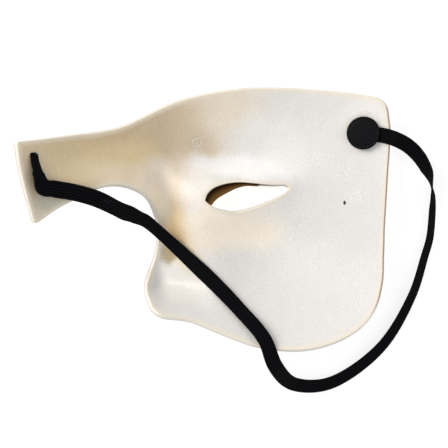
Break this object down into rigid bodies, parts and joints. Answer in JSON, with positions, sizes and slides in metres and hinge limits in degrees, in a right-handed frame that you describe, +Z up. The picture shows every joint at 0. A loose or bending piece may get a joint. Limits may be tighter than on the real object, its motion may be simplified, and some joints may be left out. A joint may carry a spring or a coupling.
{
  "type": "half mask",
  "caption": "One-sided moulded plastic half mask, lying face down, with an almond eye opening, a forehead band cut to an arch over the other eye, and a flat elastic strap held by a round disc",
  "frame": {"origin": "Centre of the resting mask's bounding box, without its strap, on the surface that it lies on", "axes": "+Z up, away from the surface; +X along the forehead band, from its slotted end to the end with the disc; +Y from the nose's base to the forehead"},
  "size_m": [0.1883, 0.1453, 0.0641],
  "materials": {
    "cream_plastic": "satin, finely pebbled on the inside",
    "black_plastic": "satin",
    "black_elastic": "woven, ribbed lengthwise"
  },
  "bodies": {
    "root": {"mask_shell": "cream_plastic", "strap_disc": "black_plastic", "elastic_strap": "black_elastic"}
  },
  "joints": []
}
